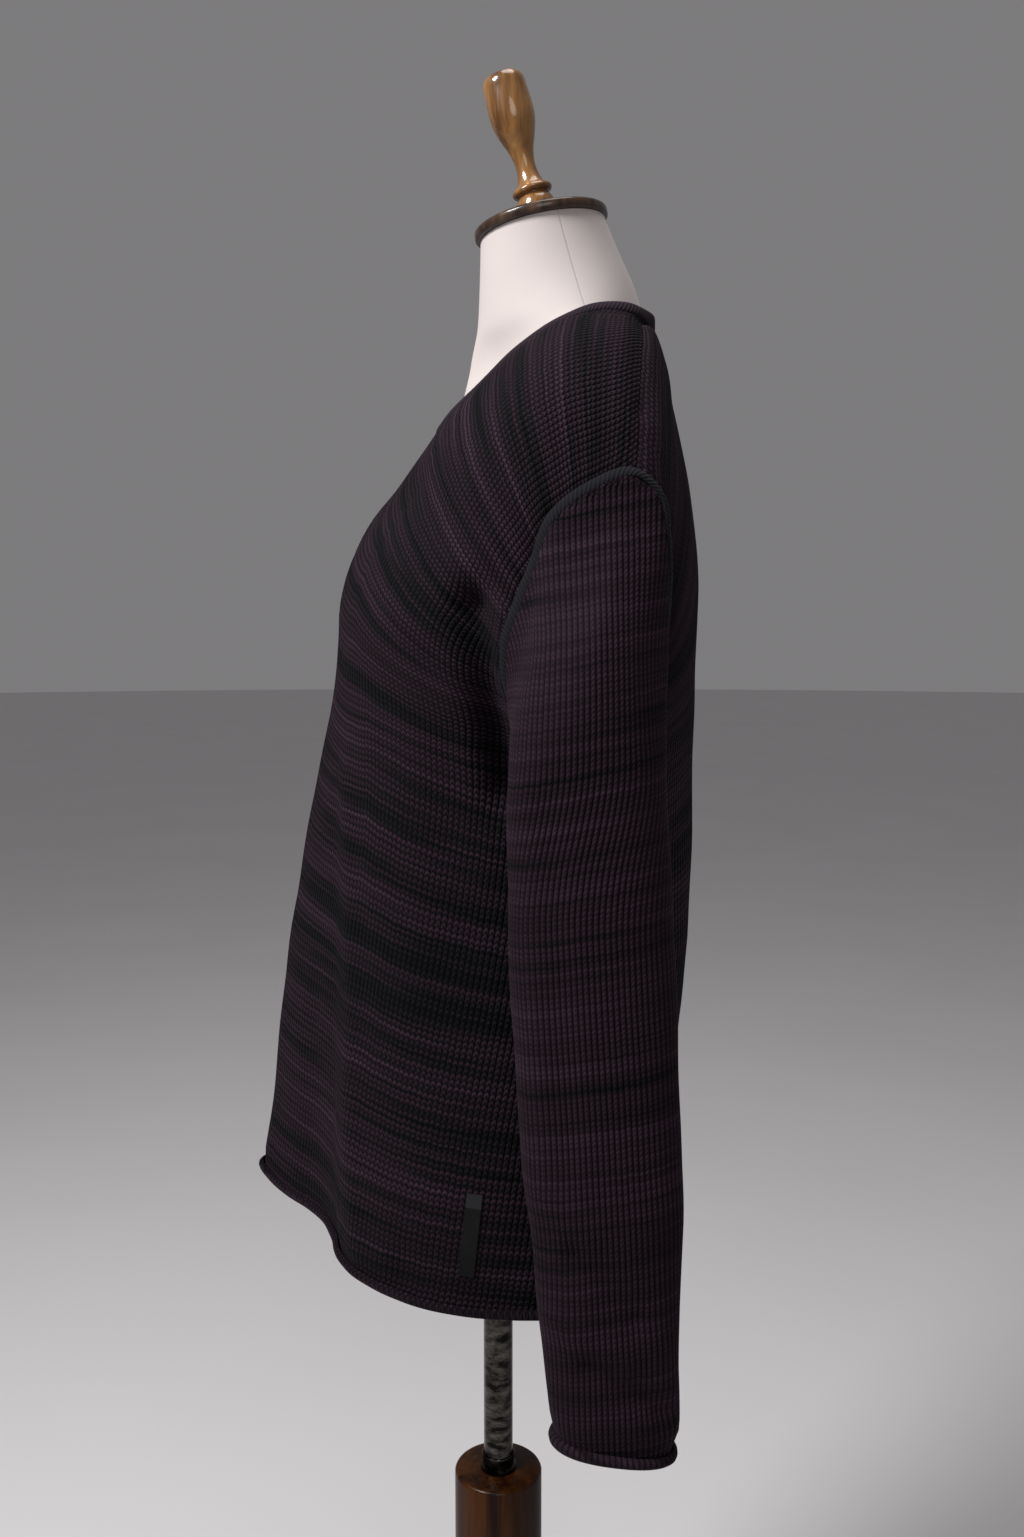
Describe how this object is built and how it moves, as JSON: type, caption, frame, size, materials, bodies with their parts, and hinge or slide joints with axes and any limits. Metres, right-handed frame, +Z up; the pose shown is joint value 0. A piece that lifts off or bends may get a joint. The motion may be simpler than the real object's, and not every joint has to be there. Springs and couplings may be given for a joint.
{
  "type": "sweater on a dress form",
  "caption": "Oversized fine-rib knit sweater with rolled edges, hanging on a limbless dress form with a pole, post and round base.",
  "frame": {"origin": "middle of the base's flat underside, on the pole's axis", "axes": "+Z up along the pole, -Y towards the sweater's front, +X towards the wearer's left"},
  "size_m": [0.5582, 0.3983, 1.6719],
  "materials": {
    "knit": "space-dyed plum and black fine rib knit, matt",
    "tape": "black woven tape",
    "form_jersey": "off-white stretched jersey",
    "cap_wood": "dark varnish",
    "finial_wood": "glossy warm brown varnish",
    "post_wood": "dark brown varnish",
    "chrome": "worn bright chrome"
  },
  "bodies": {
    "stand": {"base": "post_wood", "post": "post_wood", "post_collar": "chrome"},
    "pole": {"pole": "chrome"},
    "form": {"form_torso": "form_jersey", "neck_cap": "cap_wood", "finial": "finial_wood", "front_panel": "knit", "back_panel": "knit", "left_sleeve": "knit", "right_sleeve": "knit", "neck_trim": "knit", "left_armhole_seam": "knit", "right_armhole_seam": "knit", "side_label": "tape"}
  },
  "joints": [
    {"name": "pole_height", "type": "slide", "parent": "stand", "child": "pole", "axis": [0, 0, 1], "range_m": [-0.1, 0.15]},
    {"name": "form_swivel", "type": "hinge", "parent": "pole", "child": "form", "pos_m": [0, 0, 0.97], "axis": [0, 0, 1], "continuous": true}
  ]
}
